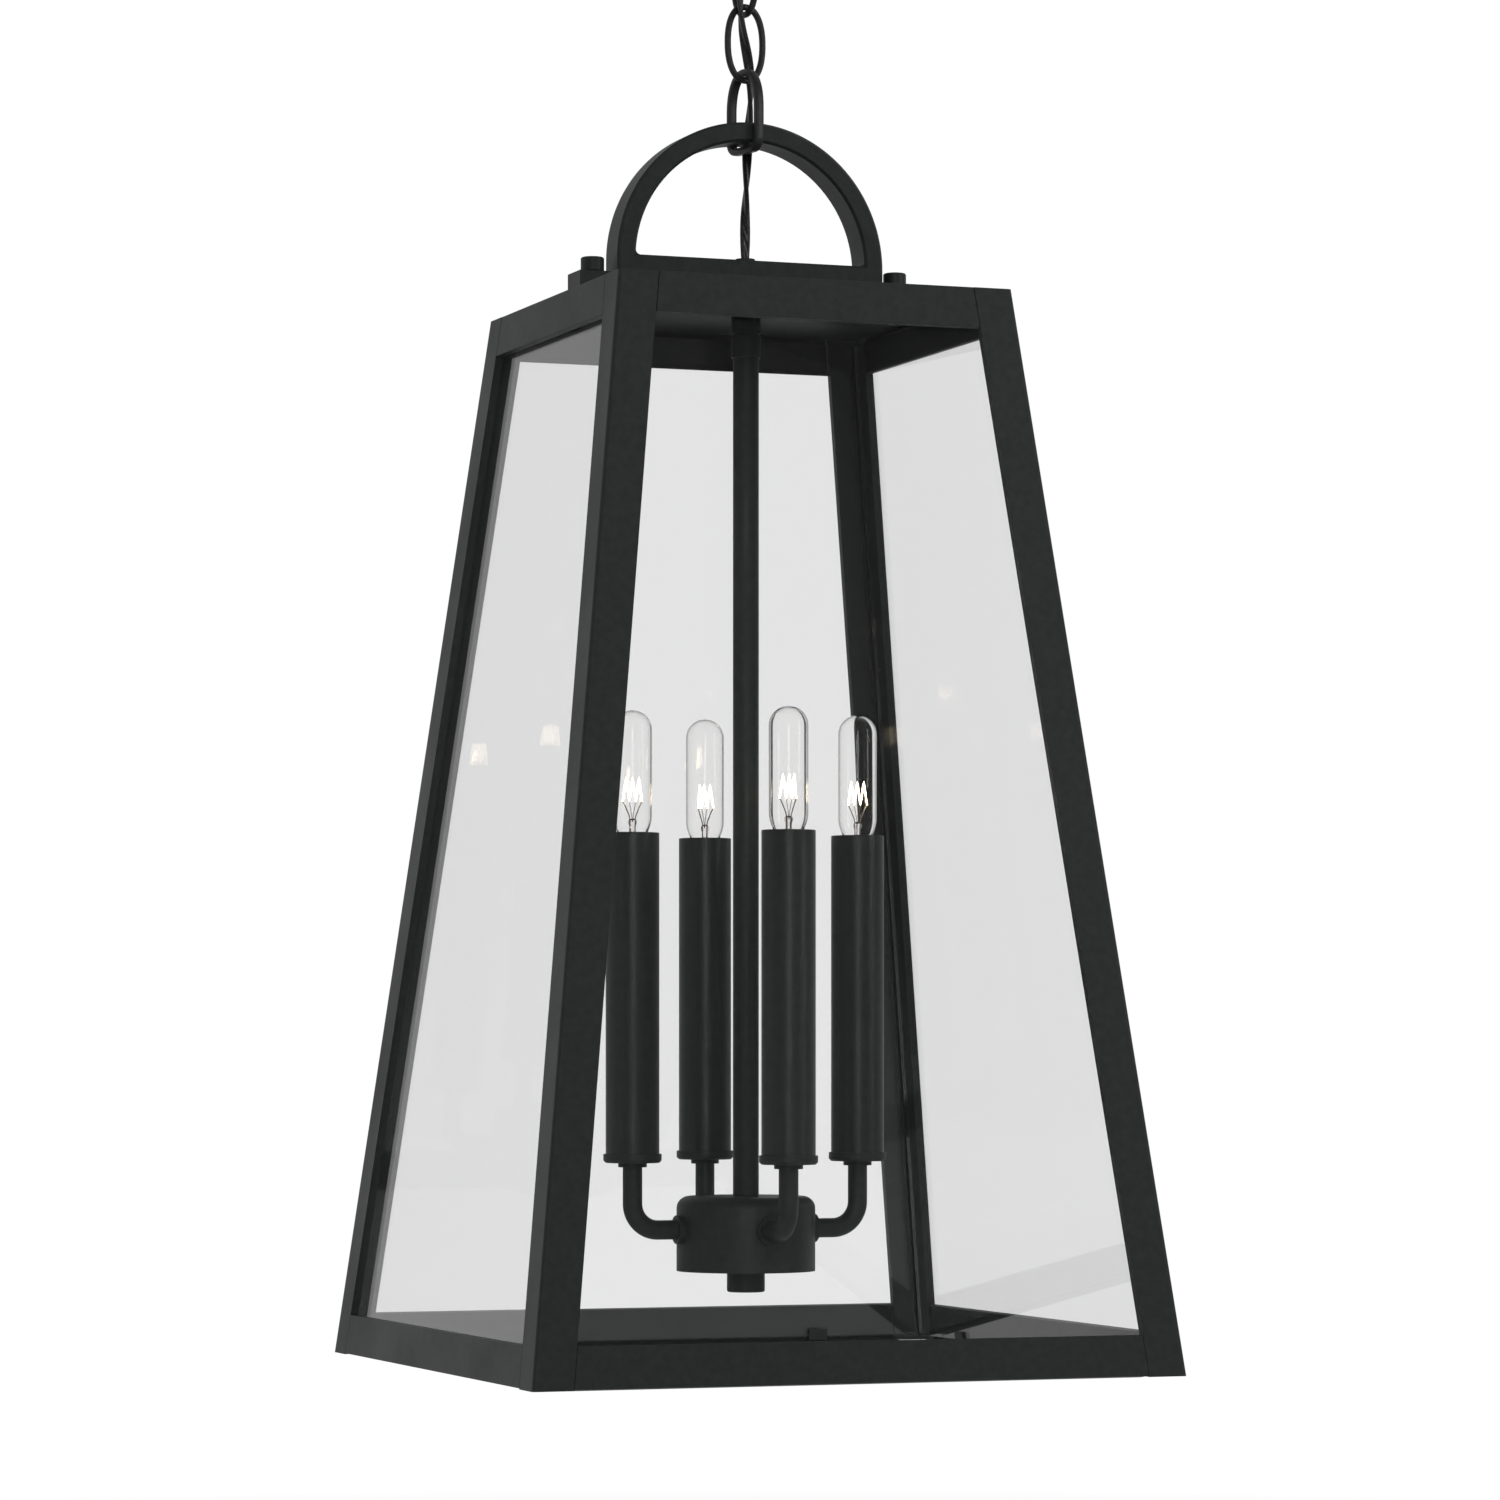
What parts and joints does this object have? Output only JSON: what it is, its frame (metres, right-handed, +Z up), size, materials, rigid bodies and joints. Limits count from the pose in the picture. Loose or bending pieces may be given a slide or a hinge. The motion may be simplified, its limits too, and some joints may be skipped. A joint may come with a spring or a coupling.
{
  "type": "hanging lantern",
  "caption": "Tapered four-sided hanging lantern with clear panes and candle lights on a central rod, hung by a D handle from a short chain and ceiling canopy.",
  "frame": {"origin": "middle of the canopy's ceiling face", "axes": "+Z up through the ceiling, +X along the handle to the right, -Y the front"},
  "size_m": [0.3252, 0.3252, 0.7498],
  "materials": {
    "powder_black": "fine-textured satin powder coat, near-black",
    "sleeve_black": "smooth satin near-black tube",
    "pane_glass": "clear flat glass",
    "bulb_glass": "clear blown glass",
    "screw_shell": "rolled brass screw shell",
    "filament": "lit tungsten wire on a glass stem",
    "plated_steel": "zinc-plated steel",
    "socket_cream": "moulded phenolic",
    "cord_black": "smooth black lamp cord, two cores twisted"
  },
  "bodies": {
    "canopy": {"canopy": "powder_black", "canopy_loop": "powder_black", "canopy_brace": "plated_steel", "stem_nut": "plated_steel"},
    "link_high": {"link_high": "powder_black"},
    "link_mid": {"link_mid": "powder_black"},
    "link_low": {"link_low": "powder_black"},
    "lantern": {"post_front_left": "powder_black", "post_front_right": "powder_black", "post_back_left": "powder_black", "post_back_right": "powder_black", "top_rail_front": "powder_black", "top_rail_right": "powder_black", "top_rail_back": "powder_black", "top_rail_left": "powder_black", "bottom_rail_front": "powder_black", "bottom_rail_right": "powder_black", "bottom_rail_back": "powder_black", "bottom_rail_left": "powder_black", "glass_front": "pane_glass", "glass_right": "pane_glass", "glass_back": "pane_glass", "glass_left": "pane_glass", "glass_clips": "powder_black", "top_plate": "powder_black", "cross_bar": "powder_black", "handle": "powder_black", "studs": "plated_steel", "rod_coupler": "powder_black", "centre_rod": "powder_black", "hub_cup": "powder_black", "hub_cover": "powder_black", "hub_finial": "powder_black", "arm_front": "powder_black", "arm_right": "powder_black", "arm_back": "powder_black", "arm_left": "powder_black", "arm_collars": "powder_black", "candle_cups": "powder_black", "socket_stems": "plated_steel", "sockets": "socket_cream", "sleeve_front": "sleeve_black", "sleeve_right": "sleeve_black", "sleeve_back": "sleeve_black", "sleeve_left": "sleeve_black", "cord": "cord_black"},
    "thumb_nut_left": {"thumb_nut_left": "powder_black"},
    "thumb_nut_right": {"thumb_nut_right": "powder_black"},
    "bulb_front": {"bulb_glass_front": "bulb_glass", "bulb_base_front": "screw_shell", "filament_front": "filament"},
    "bulb_right": {"bulb_glass_right": "bulb_glass", "bulb_base_right": "screw_shell", "filament_right": "filament"},
    "bulb_back": {"bulb_glass_back": "bulb_glass", "bulb_base_back": "screw_shell", "filament_back": "filament"},
    "bulb_left": {"bulb_glass_left": "bulb_glass", "bulb_base_left": "screw_shell", "filament_left": "filament"}
  },
  "joints": [
    {"name": "high_link_swing", "type": "hinge", "parent": "canopy", "child": "link_high", "pos_m": [0, 0, -0.0565], "axis": [0.9781, 0.2079, 0], "range_deg": [-10, 10], "deforming": ["cord"]},
    {"name": "mid_link_swing", "type": "hinge", "parent": "link_high", "child": "link_mid", "pos_m": [0, 0, -0.0879], "axis": [-0.2079, 0.9781, 0], "range_deg": [-10, 10], "deforming": ["cord"]},
    {"name": "low_link_swing", "type": "hinge", "parent": "link_mid", "child": "link_low", "pos_m": [0, 0, -0.1202], "axis": [0.9781, 0.2079, 0], "range_deg": [-10, 10], "deforming": ["cord"]},
    {"name": "lantern_swing", "type": "hinge", "parent": "link_low", "child": "lantern", "pos_m": [0, 0, -0.1544], "axis": [-0.2079, 0.9781, 0], "range_deg": [-8, 8], "deforming": ["cord"]},
    {"name": "nut_left_turn", "type": "hinge", "parent": "lantern", "child": "thumb_nut_left", "pos_m": [-0.079, 0, -0.21805], "axis": [0, 0, 1], "continuous": true},
    {"name": "nut_right_turn", "type": "hinge", "parent": "lantern", "child": "thumb_nut_right", "pos_m": [0.079, 0, -0.21805], "axis": [0, 0, 1], "continuous": true},
    {"name": "bulb_front_turn", "type": "hinge", "parent": "lantern", "child": "bulb_front", "pos_m": [0, -0.0588, -0.4986], "axis": [0, 0, 1], "continuous": true},
    {"name": "bulb_right_turn", "type": "hinge", "parent": "lantern", "child": "bulb_right", "pos_m": [0.0588, 0, -0.4986], "axis": [0, 0, 1], "continuous": true},
    {"name": "bulb_back_turn", "type": "hinge", "parent": "lantern", "child": "bulb_back", "pos_m": [0, 0.0588, -0.4986], "axis": [0, 0, 1], "continuous": true},
    {"name": "bulb_left_turn", "type": "hinge", "parent": "lantern", "child": "bulb_left", "pos_m": [-0.0588, 0, -0.4986], "axis": [0, 0, 1], "continuous": true}
  ]
}
